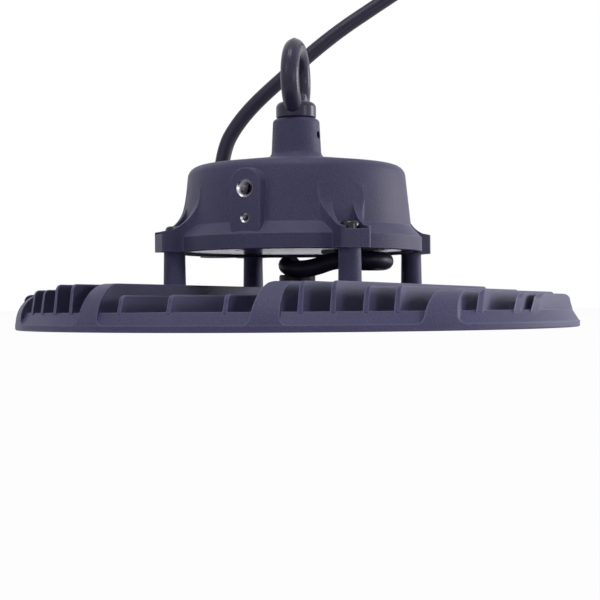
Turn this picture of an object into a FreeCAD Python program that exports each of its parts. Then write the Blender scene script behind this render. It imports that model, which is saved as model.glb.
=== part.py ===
"""A round high bay light: a finned heat sink, a driver housing on four posts, an eye bolt and two cables.

Sizes are millimetres. The origin is the middle of the heat sink's foot, +Z points up along the eye bolt,
the fins run along Y, the four posts stand on the diagonals and the bracket pads face -Y and +Y.
"""
import FreeCAD, Part
import math
import os

Vec = FreeCAD.Vector
UP = Vec(0, 0, 1)
ORIGIN = Vec(0, 0, 0)

# ---------------------------------------------------------------- heat sink
SINK_R = 150.0            # outside radius of the foot band
FOOT_ROUND = 0.8          # rounding under the band
BAND_TOP = 3.2            # the band is full radius up to here
BAND_STEP = 0.4           # the sloping rim face starts this far inside the band
RIM_R = 146.0             # where the sloping face reaches the plate's top
PLATE_TOP = 9.0           # top of the plate, which is the floor between the fins
FIN_END_R = 146.8         # the thin fins end on this radius at their foot
FIN_END_LEAN = 1.5        # their ends lean in by this much on the way up
FIN_CORNER = 3.8          # and turn into the top edge with this radius
FIN_TIP = 1.8             # fin thickness at the top
FIN_DRAFT = 0.8           # degrees on each side
# one side of the row, from the middle out: distance from the middle, height of the top
THIN_FINS = [(0.0, 16.9), (26.5, 16.9), (58.1, 22.6), (70.8, 22.6), (83.2, 20.3), (94.6, 20.3),
             (123.0, 18.5), (134.9, 16.9), (140.0, 16.9)]
# the same for the wide ribs, with the radius of their outer ends
WIDE_RIBS = [(44.4, 22.8, 22.6), (111.0, 18.5, 14.5)]
RIB_TIP = 9.0             # width of a wide rib at the top
RIB_DRAFT = 6.0           # degrees on each side
RIB_FOOT_ROUND = 3.0      # concave rounding where a rib meets the band
BOSS_R = 14.0             # round boss in the middle, under the inlet gland
BOSS_TOP = 15.0

# ---------------------------------------------------------------- posts and the screws in them
POST_CIRCLE_R = 69.2
POST_ANGLES = [45, 135, 225, 315]
POST_TOP_R = 5.6
POST_FOOT_R = 6.1
POST_HOLE_R = 2.5         # M5, drawn plain
POST_HOLE_DEPTH = 16.0
SCREW_GAP = 0.1           # between a screw's shank and its hole, and round other plain fits

# ---------------------------------------------------------------- underside: board, optic plate
LEDGE_Z = 4.6             # the optic plate's gasket seats here
RECESS_R = 143.0          # recess that takes the optic plate
WELL_R = 129.0            # deeper well that takes the board
WELL_TOP = 6.4
PAD_T = 0.3
BOARD_T = 1.6
BOARD_GAP = 0.8           # board to well, all round
CHIP_H = 0.7
CHIP_W = 3.0
CHIP_RINGS = [(24.0, 8), (44.0, 16), (64.0, 22), (84.0, 30), (104.0, 36), (120.0, 40)]
OPTIC_T = 1.8
OPTIC_EDGE_GAP = 0.5
OPTIC_DROP = 0.4          # the lensed middle stands this much lower than the screwed edge
OPTIC_FIELD_R = 127.0
GASKET_IN_R = 130.5
GASKET_W = 3.6
OPTIC_SCREW_R = 139.0
OPTIC_SCREWS = 12
BOARD_SCREWS = [(94.0, 6), (34.0, 3)]

# ---------------------------------------------------------------- driver housing
HOUSE_BOTTOM = 40.2
FLANGE_R = 67.5
FLANGE_TOP = 47.8
WALL_FOOT_R = 61.8
WALL_FOOT_Z = 53.9
WALL_TOP_R = 58.4
WALL_TOP_Z = 85.8
SHOULDER_ROUND = 4.0
NECK_FOOT_R = 13.5
NECK_TOP_R = 12.7
NECK_FOOT_Z = 92.6
NECK_TOP_Z = 112.8
NECK_ROUND = 2.2
WALL_T = 3.6
ROOF_T = 4.0
CAVITY_FOOT_R = 54.6

LUG_END_R = 78.0
LUG_HALF_W = 8.0
LUG_TOP = 50.6            # highest point of the lug's outer face
LUG_CORNER = 1.8
LUG_ROOT_HALF_W = 12.5    # where the lug's sides meet the wall
LUG_FLARE = [(71.0, 8.0), (64.6, 9.1), (60.0, 12.5)]          # arc of its side: radius, half width
WING_CURVE = [(72.5, 51.5), (63.7, 58.0), (59.3, 73.6)]       # arc of the wings' top: radius, height
WING_GAP_HALF_W = 5.9     # half of the room between the two wings
SEAT_Z = 49.4             # the screw's washer sits here
SEAT_HALF_W = 6.3
SEAT_POCKET_TOP = 58.0
LUG_HOLE_R = 2.8

PAD_FACE = 66.5           # distance of the bracket pads' faces from the middle
PAD_HALF_W = 8.2
PAD_SPREAD = 0.4          # the pad is this much wider at the wall
PAD_EDGE_ROUND = 0.9
PAD_ARCH_Z = 72.5
PAD_RIB_IN = 51.5         # the thickening behind the pad reaches in to here
BRACKET_HOLE_R = 3.4      # tapping size of M8
BRACKET_HOLE_Z = 70.4
BRACKET_HOLE_DEPTH = 12.5
STOP_HOLE_R = 1.65        # tapping size of M4
STOP_HOLE_Z = 55.6
STOP_HOLE_DEPTH = 9.0
BRACKET_CHAMFER = 1.1
STOP_CHAMFER = 0.8

CORD_BOSS_R = 11.0        # upright boss at the back for the mains gland
CORD_BOSS_ANGLE = 152.8
CORD_BOSS_CIRCLE_R = 69.9
CORD_BOSS_AT = Vec(CORD_BOSS_CIRCLE_R * math.cos(math.radians(CORD_BOSS_ANGLE)),
                   CORD_BOSS_CIRCLE_R * math.sin(math.radians(CORD_BOSS_ANGLE)), 0)
CORD_BOSS_TOP = 58.0
CORD_WELL_FLOOR = 46.0
CORD_PASSAGE_R = 4.8         # the mains wires pass from the boss into the housing
CORD_PASSAGE_Z = 51.2

# ---------------------------------------------------------------- cover plate under the housing
COVER_IN = 1.4            # the plate sits this far up inside the flange
COVER_T = 2.0
COVER_GASKET_T = 0.8
COVER_R = 62.8
COVER_GAP = 0.3
COVER_SCREW_CIRCLE = 58.9
COVER_SCREWS = 6
COVER_HOLE_R = 1.7
COVER_HEAD_R = 2.8
COVER_GASKET_W = 1.6
COVER_STEP_R = 34.0
COVER_STEP = 0.2

# ---------------------------------------------------------------- driver inside the housing
DRIVER_BOARD_R = 50.0
DRIVER_BOARD_Z = 53.0
DRIVER_BOARD_T = 1.6
DRIVER_BOSS_CIRCLE = 46.0
DRIVER_BOSS_R = 3.6

# ---------------------------------------------------------------- eye bolt, M10
EYE_WIRE_R = 4.9
EYE_MEAN_R = 17.0
EYE_TURN = 11.7           # degrees that the ring is turned from the bracket pads' plane
COLLAR_R = 10.85
COLLAR_H = 9.2
COLLAR_ROUND = 3.0
COLLAR_FOOT_ROUND = 1.0
SEAM_H = 0.25             # parting line left by the forging dies
SEAM_W = 1.0
SHANK_R = 4.9
SHANK_L = 20.0
NECK_HOLE_R = SHANK_R + SCREW_GAP
NECK_HOLE_DEPTH = 23.0
LOCK_Z = 103.7            # height of the set screw that locks the shank
LOCK_HOLE_R = 2.2
LOCK_SCREW_L = 6.0

# ---------------------------------------------------------------- cables and their glands
OUT_CABLE_D = 9.3
MAINS_CORD_D = 8.6
CABLE_GAP = 0.05          # between a cable and what is round it
GLAND_STEM_R = 7.9
GLAND_HEX = 20.0          # across flats
NUT_R = 9.8
MOUTH_R = 8.9
INLET_NUT_TOP = 28.4
OUTLET_AT = Vec(23.8, 14.4, 0)
OUTLET_LIP_H = 2.3
OUTLET_HEX = 25.0
OUTLET_MOUTH_R = 9.6
OUTLET_TURN = 22.9
MAINS_HEX = 18.0
MAINS_STEM_R = 7.4
MAINS_NUT_R = 8.7
MAINS_NUT_TOP = 85.0
# middle line of the output cable, from the driver down to the light source board's boss
OUT_ROUTE = [Vec(OUTLET_AT.x, OUTLET_AT.y, 50.0), Vec(OUTLET_AT.x, OUTLET_AT.y, 30.6), Vec(13.2, 38.1, 36.2),
             Vec(30.3, 51.3, 35.8), Vec(52.9, -2.1, 35.3), Vec(28.3, -10.9, 36.4),
             Vec(15.9, -16.1, 31.4), Vec(6.5, -21.1, 30.7), Vec(-1.1, -14.8, 33.9),
             Vec(0.0, 0.0, 34.1), Vec(0.0, 0.0, 7.6)]
OUT_TURNS = [9.3, 9.5, 10.8, 14, 20, 20, 8.4, 8.4, 9.3]
# middle line of the mains cord, from its gland up to its connector
MAINS_ROUTE = [Vec(CORD_BOSS_AT.x, CORD_BOSS_AT.y, 68.0), Vec(CORD_BOSS_AT.x, CORD_BOSS_AT.y, 97.4),
               Vec(-50.3, 39.5, 122.8), Vec(-25.7, 54.3, 150.1), Vec(-4.7, 68.6, 172.4),
               Vec(15.9, 83.8, 191.2), Vec(36.1, 98.6, 206.6)]
RUN_SHARE = 0.45          # share of the shorter run that a cord's turn uses

CONNECTOR_L = 34.0
CONNECTOR_R = 9.0


# ================================================================ small helpers
def outline(start, *moves):
    """A closed face in the XZ plane. A move is (x, z) for a line or ((x, z), (x, z)) for an arc through a point."""
    edges = []
    here = Vec(start[0], 0, start[1])
    first = here
    for move in moves:
        if isinstance(move[0], tuple):
            middle = Vec(move[0][0], 0, move[0][1])
            there = Vec(move[1][0], 0, move[1][1])
            edges.append(Part.Arc(here, middle, there).toShape())
        else:
            there = Vec(move[0], 0, move[1])
            edges.append(Part.LineSegment(here, there).toShape())
        here = there
    if here.distanceToPoint(first) > 1e-6:
        edges.append(Part.LineSegment(here, first).toShape())
    return Part.Face(Part.Wire(edges))


def turned(start, *moves):
    """The outline turned about the Z axis, as on a lathe."""
    return outline(start, *moves).revolve(ORIGIN, UP, 360)


def cylinder(radius, bottom, top, at=ORIGIN):
    return Part.makeCylinder(radius, top - bottom, Vec(at.x, at.y, bottom))


def tube(outer, inner, bottom, top, at=ORIGIN):
    return cylinder(outer, bottom, top, at).cut(cylinder(inner, bottom, top, at))


def cone(radius_bottom, radius_top, bottom, top, at=ORIGIN):
    return Part.makeCone(radius_bottom, radius_top, top - bottom, Vec(at.x, at.y, bottom))


def block(x0, x1, y0, y1, z0, z1):
    return Part.makeBox(x1 - x0, y1 - y0, z1 - z0, Vec(x0, y0, z0))


def hexagon(flats, bottom, top, at=ORIGIN):
    corner = flats / math.sqrt(3)
    points = [Vec(at.x + corner * math.cos(math.radians(60 * k)),
                  at.y + corner * math.sin(math.radians(60 * k)), bottom) for k in range(7)]
    return Part.Face(Part.makePolygon(points)).extrude(Vec(0, 0, top - bottom))


def spun(shape, degrees, axis=UP, at=ORIGIN):
    copy = shape.copy()
    copy.rotate(at, axis, degrees)
    return copy


def moved(shape, x, y, z):
    copy = shape.copy()
    copy.translate(Vec(x, y, z))
    return copy


def round_places(radius, count, first=0.0):
    return [(radius * math.cos(math.radians(first + 360.0 * k / count)),
             radius * math.sin(math.radians(first + 360.0 * k / count))) for k in range(count)]


def fuse_all(shapes):
    return shapes[0].multiFuse(shapes[1:]).removeSplitter()


def cut_all(shape, tools):
    return shape.cut(Part.makeCompound(tools))


def save(name, shape):
    """Writes one node. A group of separate solids is written as a compound."""
    solids = shape.Solids
    result = solids[0] if len(solids) == 1 else Part.makeCompound(solids)
    result.exportStep("parts/" + name + ".step")
    print(f"{name:24s} {len(solids):3d} solid(s) {shape.Volume / 1000:9.2f} cm3")


# ================================================================ heat sink
def upright_bar(tip, draft, bottom, top, foot_round=0.0):
    """Section of a fin or rib: drafted sides, a rounded top and, on a wide rib, hollow rounds at its foot."""
    lean = math.tan(math.radians(draft))
    tip_half = tip / 2
    tip_round = min(0.9 * tip_half, 1.2)
    foot_half = tip_half + (top - bottom) * lean
    bend = tip_round * (1 - math.sqrt(0.5))
    side_top = top - tip_round
    side_half = tip_half + tip_round * lean
    right = [(side_half, side_top), ((side_half - bend, top - bend), (side_half - tip_round, top))]
    left = [(-side_half + tip_round, top), ((-side_half + bend, top - bend), (-side_half, side_top))]
    if foot_round:
        hollow = foot_round * (1 - math.sqrt(0.5))
        wide = foot_half + foot_round
        lifted = foot_half - foot_round * lean
        return outline((wide, bottom), ((foot_half + hollow, bottom + hollow), (lifted, bottom + foot_round)),
                       *right, *left, (-lifted, bottom + foot_round),
                       ((-foot_half - hollow, bottom + hollow), (-wide, bottom)))
    return outline((foot_half, bottom), *right, *left, (-foot_half, bottom))


def along_fins(section, x):
    """A section stretched right across the heat sink, at x from the middle."""
    bar = section.extrude(Vec(0, 2 * SINK_R, 0))
    return moved(bar, x, -SINK_R, 0)


def fin_envelope(end_r, foot, top):
    """What a row of fins may fill: a drum with a slightly leaning side and a rounded upper edge."""
    lean_r = end_r - FIN_END_LEAN
    bend = FIN_CORNER * (1 - math.sqrt(0.5))
    return turned((0, BAND_TOP), (end_r, BAND_TOP), (end_r, foot), (lean_r, top - FIN_CORNER),
                  ((lean_r - bend, top - bend), (lean_r - FIN_CORNER, top)), (0, top))


def rib_envelope(top, end_round):
    """The wide ribs' outer ends are large rounds that run down into the band."""
    middle_r = SINK_R - end_round
    middle_z = top - end_round
    low = math.asin(max(BAND_TOP - middle_z, 0.0) / end_round)
    half = (low + math.pi / 2) / 2
    start = max(BAND_TOP, middle_z)
    points = [(0, BAND_TOP), (middle_r + end_round * math.cos(low), BAND_TOP)]
    if start > BAND_TOP:
        points.append((SINK_R, start))
    return turned(*points, ((middle_r + end_round * math.cos(half), middle_z + end_round * math.sin(half)),
                            (middle_r, top)), (0, top))


def rim_disc():
    """The plate's outside: foot band, step, sloping rim face, flat top."""
    bend = FOOT_ROUND * (1 - math.sqrt(0.5))
    return turned((0, 0), (SINK_R - FOOT_ROUND, 0),
                  ((SINK_R - bend, bend), (SINK_R, FOOT_ROUND)), (SINK_R, BAND_TOP),
                  (SINK_R - BAND_STEP, BAND_TOP), (RIM_R, PLATE_TOP), (0, PLATE_TOP))


def both_sides(rows):
    places = []
    for x, top in rows:
        places.append((x, top))
        if x:
            places.append((-x, top))
    return places


def thin_fins():
    fins = []
    for top in sorted({row[1] for row in THIN_FINS}):
        section = upright_bar(FIN_TIP, FIN_DRAFT, BAND_TOP, top)
        bars = [along_fins(section, x) for x, height in both_sides(THIN_FINS) if height == top]
        fins.append(Part.makeCompound(bars).common(fin_envelope(FIN_END_R, PLATE_TOP, top)))
    return fins


def wide_ribs():
    ribs = []
    for place, top, end_round in WIDE_RIBS:
        section = upright_bar(RIB_TIP, RIB_DRAFT, BAND_TOP, top, RIB_FOOT_ROUND)
        bars = [along_fins(section, x) for x in (-place, place)]
        ribs.append(Part.makeCompound(bars).common(rib_envelope(top, end_round)))
    return ribs


def post_places():
    return [Vec(POST_CIRCLE_R * math.cos(math.radians(a)), POST_CIRCLE_R * math.sin(math.radians(a)), 0)
            for a in POST_ANGLES]


def heat_sink():
    posts = [cone(POST_FOOT_R, POST_TOP_R, PLATE_TOP - 1, HOUSE_BOTTOM, at) for at in post_places()]
    boss = cone(BOSS_R + 0.5, BOSS_R, PLATE_TOP - 1, BOSS_TOP)
    body = fuse_all([rim_disc()] + thin_fins() + wide_ribs() + posts + [boss])
    underside = turned((0, -1), (RECESS_R, -1), (RECESS_R, LEDGE_Z), (WELL_R, LEDGE_Z),
                       (WELL_R, WELL_TOP), (0, WELL_TOP))
    cuts = [underside]
    cuts += [cylinder(POST_HOLE_R, HOUSE_BOTTOM - POST_HOLE_DEPTH, HOUSE_BOTTOM + 1, at)
             for at in post_places()]
    cuts += [cylinder(GLAND_STEM_R + SCREW_GAP, PLATE_TOP, BOSS_TOP + 1), cylinder(OUT_CABLE_D / 2 + 1, 5, 10)]
    cuts.append(cylinder(BOSS_R, BOSS_TOP, BOSS_TOP + 10))
    cuts += [cylinder(1.5, LEDGE_Z - 1, PLATE_TOP - 0.9, Vec(x, y, 0))
             for x, y in round_places(OPTIC_SCREW_R, OPTIC_SCREWS, 15)]
    for radius, count in BOARD_SCREWS:
        cuts += [cylinder(1.5, WELL_TOP - 1, PLATE_TOP - 0.6, Vec(x, y, 0))
                 for x, y in round_places(radius, count, 20)]
    return cut_all(body, cuts)


# ================================================================ underside
def board_places():
    return [place for radius, count in BOARD_SCREWS for place in round_places(radius, count, 20)]


def thermal_pad():
    disc = cylinder(WELL_R - BOARD_GAP - 1, WELL_TOP - PAD_T, WELL_TOP)
    holes = [cylinder(2.2, 0, PLATE_TOP, Vec(x, y, 0)) for x, y in board_places()]
    return cut_all(disc, holes + [cylinder(8, 0, PLATE_TOP)])


def light_board():
    top = WELL_TOP - PAD_T
    disc = cylinder(WELL_R - BOARD_GAP, top - BOARD_T, top)
    holes = [cylinder(1.7, 0, PLATE_TOP, Vec(x, y, 0)) for x, y in board_places()]
    return cut_all(disc, holes + [cylinder(6, 0, PLATE_TOP)])


def light_chips():
    under = WELL_TOP - PAD_T - BOARD_T
    chip = block(-CHIP_W / 2, CHIP_W / 2, -CHIP_W / 2, CHIP_W / 2, under - CHIP_H, under)
    chips = []
    for radius, count in CHIP_RINGS:
        for k in range(count):
            chips.append(spun(moved(chip, radius, 0, 0), 360.0 * (k + 0.5) / count))
    return Part.makeCompound(chips)


def low_screw(radius, head_r, head_h, seat, tip, at):
    """A low domed screw pointing up from its seat."""
    bend = head_h * (1 - math.sqrt(0.5))
    body = turned((0, seat - head_h), (head_r - head_h, seat - head_h),
                  ((head_r - bend, seat - head_h + bend), (head_r, seat)),
                  (radius, seat), (radius, tip - radius * 0.5), (radius * 0.5, tip), (0, tip))
    socket = hexagon(head_r, seat - head_h - 1, seat - head_h * 0.4)
    return moved(body.cut(socket), at[0], at[1], 0)


def board_screws():
    seat = WELL_TOP - PAD_T - BOARD_T
    return Part.makeCompound([low_screw(1.4, 2.6, 0.9, seat, PLATE_TOP - 0.8, at) for at in board_places()])


def optic_seat():
    """Underside and top of the optic plate's screwed edge."""
    top = LEDGE_Z - COVER_GASKET_T
    return top - OPTIC_T, top


def lens_plate():
    low, high = optic_seat()
    edge_r = RECESS_R - OPTIC_EDGE_GAP
    body = turned((0, low - OPTIC_DROP), (OPTIC_FIELD_R, low - OPTIC_DROP), (OPTIC_FIELD_R + 1, low),
                  (edge_r, low), (edge_r, high), (OPTIC_FIELD_R + 1, high),
                  (OPTIC_FIELD_R, high - OPTIC_DROP), (0, high - OPTIC_DROP))
    holes = [cylinder(1.7, 0, PLATE_TOP, Vec(x, y, 0)) for x, y in round_places(OPTIC_SCREW_R, OPTIC_SCREWS, 15)]
    return cut_all(body, holes)


def lens_gasket():
    return tube(GASKET_IN_R + GASKET_W, GASKET_IN_R, LEDGE_Z - COVER_GASKET_T, LEDGE_Z)


def lens_screws():
    low, high = optic_seat()
    places = round_places(OPTIC_SCREW_R, OPTIC_SCREWS, 15)
    return Part.makeCompound([low_screw(1.4, 2.7, 1.4, low, PLATE_TOP - 1.0, at) for at in places])


# ================================================================ driver housing
def housing_outside():
    """Flange, drafted wall, rounded shoulder, shallow roof cone and neck, as one turned shape."""
    lean = math.atan2(WALL_FOOT_R - WALL_TOP_R, WALL_TOP_Z - WALL_FOOT_Z)
    wall_end = (WALL_TOP_R + SHOULDER_ROUND * math.tan(lean), WALL_TOP_Z - SHOULDER_ROUND)
    bend = SHOULDER_ROUND * (1 - math.sqrt(0.5))
    neck_bend = NECK_ROUND * (1 - math.sqrt(0.5))
    flare = 2.0
    flare_bend = flare * (1 - math.sqrt(0.5))
    return turned((0, HOUSE_BOTTOM), (FLANGE_R - 0.4, HOUSE_BOTTOM), (FLANGE_R, HOUSE_BOTTOM + 0.4),
                  (FLANGE_R, FLANGE_TOP), (WALL_FOOT_R, WALL_FOOT_Z), wall_end,
                  ((WALL_TOP_R - bend, WALL_TOP_Z - bend), (WALL_TOP_R - SHOULDER_ROUND, WALL_TOP_Z + 0.5)),
                  (NECK_FOOT_R + flare, NECK_FOOT_Z - flare * 0.5),
                  ((NECK_FOOT_R + flare_bend, NECK_FOOT_Z + flare_bend), (NECK_FOOT_R, NECK_FOOT_Z + flare)),
                  (NECK_TOP_R, NECK_TOP_Z - NECK_ROUND),
                  ((NECK_TOP_R - neck_bend, NECK_TOP_Z - neck_bend), (NECK_TOP_R - NECK_ROUND, NECK_TOP_Z)),
                  (0, NECK_TOP_Z))


def screw_lug():
    """One lug on +X: its plan is flared at the wall, and two hollow wings rise from it beside the screw."""
    inner = WALL_TOP_R - 3
    head = WING_CURVE[2]
    side = outline((CAVITY_FOOT_R, HOUSE_BOTTOM), (LUG_END_R, HOUSE_BOTTOM), (LUG_END_R, LUG_TOP),
                   WING_CURVE[0], (WING_CURVE[1], head), (inner, head[1]), (inner, WALL_FOOT_Z),
                   (CAVITY_FOOT_R, WALL_FOOT_Z))
    wide = LUG_ROOT_HALF_W + 1
    side = moved(side.extrude(Vec(0, 2 * wide, 0)), 0, -wide, 0)
    bend = LUG_CORNER * (1 - math.sqrt(0.5))
    flat = LUG_END_R - LUG_CORNER
    corner = LUG_HALF_W - LUG_CORNER
    start, middle, root = LUG_FLARE
    plan = outline((CAVITY_FOOT_R - 1, -root[1]), (root[0], -root[1]),
                   ((middle[0], -middle[1]), (start[0], -start[1])), (flat, -LUG_HALF_W),
                   ((LUG_END_R - bend, -LUG_HALF_W + bend), (LUG_END_R, -corner)), (LUG_END_R, corner),
                   ((LUG_END_R - bend, LUG_HALF_W - bend), (flat, LUG_HALF_W)), start,
                   (middle, root), (CAVITY_FOOT_R - 1, root[1]))
    plan = spun(plan, -90, Vec(1, 0, 0)).extrude(Vec(0, 0, 50))
    lug = side.common(moved(plan, 0, 0, HOUSE_BOTTOM - 1))
    gap = block(CAVITY_FOOT_R - 2, LUG_END_R + 1, -WING_GAP_HALF_W, WING_GAP_HALF_W, SEAT_Z, head[1] + 1)
    return lug.cut(gap)


def screw_pocket():
    """The round seat of a lug's washer, sunk into the flange and the wings' feet."""
    return cylinder(SEAT_HALF_W, SEAT_Z, SEAT_POCKET_TOP, Vec(POST_CIRCLE_R, 0, 0))


def arch(half_w, foot_z, top_z, y):
    """An upright window shape in the plane at y: straight sides and a half round top."""
    a = Vec(-half_w, y, foot_z)
    b = Vec(half_w, y, foot_z)
    c = Vec(half_w, y, top_z)
    d = Vec(-half_w, y, top_z)
    crown = Part.Arc(c, Vec(0, y, top_z + half_w), d).toShape()
    sides = [Part.LineSegment(a, b).toShape(), Part.LineSegment(b, c).toShape(), crown,
             Part.LineSegment(d, a).toShape()]
    return Part.Wire(sides)


def bracket_pad():
    """The pad on the -Y side: a flat face with an arched top, wider where it grows out of the wall."""
    face = arch(PAD_HALF_W, FLANGE_TOP - 1, PAD_ARCH_Z, -PAD_FACE)
    root = arch(PAD_HALF_W + PAD_SPREAD, FLANGE_TOP - 1, PAD_ARCH_Z, -WALL_TOP_R + 2)
    pad = Part.makeLoft([face, root], True, True)
    rim = [e for e in pad.Edges if e.BoundBox.YLength < 0.01 and abs(e.BoundBox.YMin + PAD_FACE) < 0.01
           and e.BoundBox.ZMax > FLANGE_TOP]
    return pad.makeFillet(PAD_EDGE_ROUND, rim)


def pad_holes():
    """The M8 bracket hole and the M4 stop hole under it, on the -Y side."""
    holes = []
    for radius, z, depth, chamfer in ((BRACKET_HOLE_R, BRACKET_HOLE_Z, BRACKET_HOLE_DEPTH, BRACKET_CHAMFER),
                                      (STOP_HOLE_R, STOP_HOLE_Z, STOP_HOLE_DEPTH, STOP_CHAMFER)):
        holes.append(Part.makeCylinder(radius, depth + 1, Vec(0, -PAD_FACE - 1, z), Vec(0, 1, 0)))
        holes.append(Part.makeCone(radius + 2 * chamfer, radius, 2 * chamfer,
                                   Vec(0, -PAD_FACE - chamfer, z), Vec(0, 1, 0)))
    return holes


def cover_face():
    return HOUSE_BOTTOM + COVER_IN


def cover_ledge():
    return cover_face() + COVER_T + COVER_GASKET_T


def roof_inside():
    return WALL_TOP_Z - ROOF_T


def housing_cavity():
    """The room for the driver: a drafted drum with a sloping roof, open below."""
    top_r = WALL_TOP_R - WALL_T
    roof = roof_inside()
    return turned((0, HOUSE_BOTTOM - 1), (COVER_R + COVER_GAP, HOUSE_BOTTOM - 1),
                  (COVER_R + COVER_GAP, cover_ledge()), (CAVITY_FOOT_R, cover_ledge()),
                  (top_r, roof - 3), (top_r - 3, roof), (NECK_FOOT_R, roof + 1), (0, roof + 1))


def driver_bosses():
    return [cylinder(DRIVER_BOSS_R, DRIVER_BOARD_Z + DRIVER_BOARD_T, roof_inside() + 2, Vec(x, y, 0))
            for x, y in round_places(DRIVER_BOSS_CIRCLE, 4, 0)]


def driver_housing():
    lug = screw_lug()
    pad = bracket_pad()
    cord_boss = cone(CORD_BOSS_R + 0.6, CORD_BOSS_R, HOUSE_BOTTOM, CORD_BOSS_TOP, CORD_BOSS_AT)
    outside = fuse_all([housing_outside(), pad, spun(pad, 180), cord_boss] + [spun(lug, a) for a in POST_ANGLES])
    shell = outside.cut(housing_cavity())
    rib = block(-PAD_HALF_W, PAD_HALF_W, 1 - WALL_TOP_R, -PAD_RIB_IN, cover_ledge() + 2, roof_inside() + 1)
    shell = fuse_all([shell, rib, spun(rib, 180)] + driver_bosses())
    holes = pad_holes()
    cuts = holes + [spun(hole, 180) for hole in holes]
    cuts += [cylinder(LUG_HOLE_R, HOUSE_BOTTOM - 1, SEAT_Z + 1, at) for at in post_places()]
    cuts += [spun(screw_pocket(), a) for a in POST_ANGLES]
    cuts += [cylinder(1.5, cover_ledge() - 1, cover_ledge() + 7, Vec(x, y, 0))
             for x, y in round_places(COVER_SCREW_CIRCLE, COVER_SCREWS, 0)]
    cuts += [cylinder(1.5, DRIVER_BOARD_Z, DRIVER_BOARD_Z + 12, Vec(x, y, 0))
             for x, y in round_places(DRIVER_BOSS_CIRCLE, 4, 0)]
    cuts += [cylinder(NECK_HOLE_R, NECK_TOP_Z - NECK_HOLE_DEPTH, NECK_TOP_Z + 1),
             cone(NECK_HOLE_R, NECK_HOLE_R + 1.5, NECK_TOP_Z - 1, NECK_TOP_Z + 0.5)]
    cuts.append(Part.makeCylinder(LOCK_HOLE_R, NECK_FOOT_R + 2, Vec(0, 0, LOCK_Z), Vec(1, 0, 0)))
    cuts.append(cylinder(MAINS_STEM_R + SCREW_GAP, CORD_WELL_FLOOR, CORD_BOSS_TOP + 1, CORD_BOSS_AT))
    cuts.append(cylinder(MAINS_HEX / math.sqrt(3) + 0.5, CORD_BOSS_TOP, CORD_BOSS_TOP + 6, CORD_BOSS_AT))
    inwards = Vec(-CORD_BOSS_AT.x, -CORD_BOSS_AT.y, 0)
    inwards.normalize()
    cuts.append(Part.makeCylinder(CORD_PASSAGE_R, 20, Vec(CORD_BOSS_AT.x, CORD_BOSS_AT.y, CORD_PASSAGE_Z), inwards))
    return cut_all(shell, cuts)


# ================================================================ cover plate
def countersunk(radius, head_r, face, tip, at):
    """A flat-headed screw pointing up, its head level with the face it is sunk in."""
    head_h = head_r - radius
    body = turned((0, face), (head_r, face), (radius, face + head_h), (radius, tip), (0, tip))
    socket = hexagon(radius * 1.2, face - 1, face + head_h * 0.8)
    return moved(body.cut(socket), at[0], at[1], 0)


def cover_places():
    return round_places(COVER_SCREW_CIRCLE, COVER_SCREWS, 0)


def housing_cover():
    face = cover_face()
    top = face + COVER_T
    body = turned((0, face - COVER_STEP), (COVER_STEP_R, face - COVER_STEP),
                  (COVER_STEP_R + COVER_STEP, face), (COVER_R, face), (COVER_R, top), (0, top))
    cuts = [cylinder(GLAND_STEM_R + SCREW_GAP, face - 2, top + 1, OUTLET_AT)]
    for x, y in cover_places():
        cuts.append(cone(COVER_HEAD_R, COVER_HOLE_R, face, face + COVER_HEAD_R - COVER_HOLE_R, Vec(x, y, 0)))
        cuts.append(cylinder(COVER_HOLE_R, face, top + 1, Vec(x, y, 0)))
    return cut_all(body, cuts)


def cover_gasket():
    inner = CAVITY_FOOT_R + COVER_GAP
    return tube(inner + COVER_GASKET_W, inner, cover_face() + COVER_T, cover_ledge())


def cover_screws():
    tip = cover_ledge() + 6
    return Part.makeCompound([countersunk(1.4, COVER_HEAD_R, cover_face(), tip, at) for at in cover_places()])


# ================================================================ driver
def driver_board():
    disc = cylinder(DRIVER_BOARD_R, DRIVER_BOARD_Z, DRIVER_BOARD_Z + DRIVER_BOARD_T)
    holes = [cylinder(1.7, DRIVER_BOARD_Z - 1, DRIVER_BOARD_Z + 3, Vec(x, y, 0))
             for x, y in round_places(DRIVER_BOSS_CIRCLE, 4, 0)]
    return cut_all(disc, holes)


def driver_board_screws():
    places = round_places(DRIVER_BOSS_CIRCLE, 4, 0)
    return Part.makeCompound([low_screw(1.4, 2.6, 1.4, DRIVER_BOARD_Z, DRIVER_BOARD_Z + 8, at) for at in places])


def driver_transformer():
    """A ferrite core of two E halves round a wound bobbin, on the board."""
    z = DRIVER_BOARD_Z + DRIVER_BOARD_T
    core = block(-16, 16, -8, 8, z + 3, z + 23)
    bobbin = block(-14, 14, -13, 13, z, z + 3).fuse(block(-11, 11, -12, 12, z + 3, z + 21))
    return moved(core.fuse(bobbin).removeSplitter(), -14, -14, 0)


def driver_choke():
    """A wound ring standing on its base."""
    z = DRIVER_BOARD_Z + DRIVER_BOARD_T
    ring = Part.makeTorus(7.5, 3.5, Vec(0, 0, 13), Vec(0, 1, 0))
    base = block(-8, 8, -5, 5, 0, 3.5)
    return moved(ring.fuse(base).removeSplitter(), 20, -20, z)


def driver_capacitors():
    z = DRIVER_BOARD_Z + DRIVER_BOARD_T
    cans = [(18, 6, 8.0, 24.0), (18, 24, 8.0, 24.0), (-4, 30, 5.0, 18.0), (-16, 28, 5.0, 18.0)]
    return Part.makeCompound([cylinder(radius, z, z + height, Vec(x, y, 0)) for x, y, radius, height in cans])


def driver_terminals():
    """A five-way terminal block beside the mains entry."""
    z = DRIVER_BOARD_Z + DRIVER_BOARD_T
    body = block(-41, -30, -4, 22, z, z + 11)
    ways = [cylinder(1.8, z + 5, z + 12, Vec(-35.5, -1.2 + 5.1 * k, 0)) for k in range(5)]
    return cut_all(body, ways)


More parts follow.
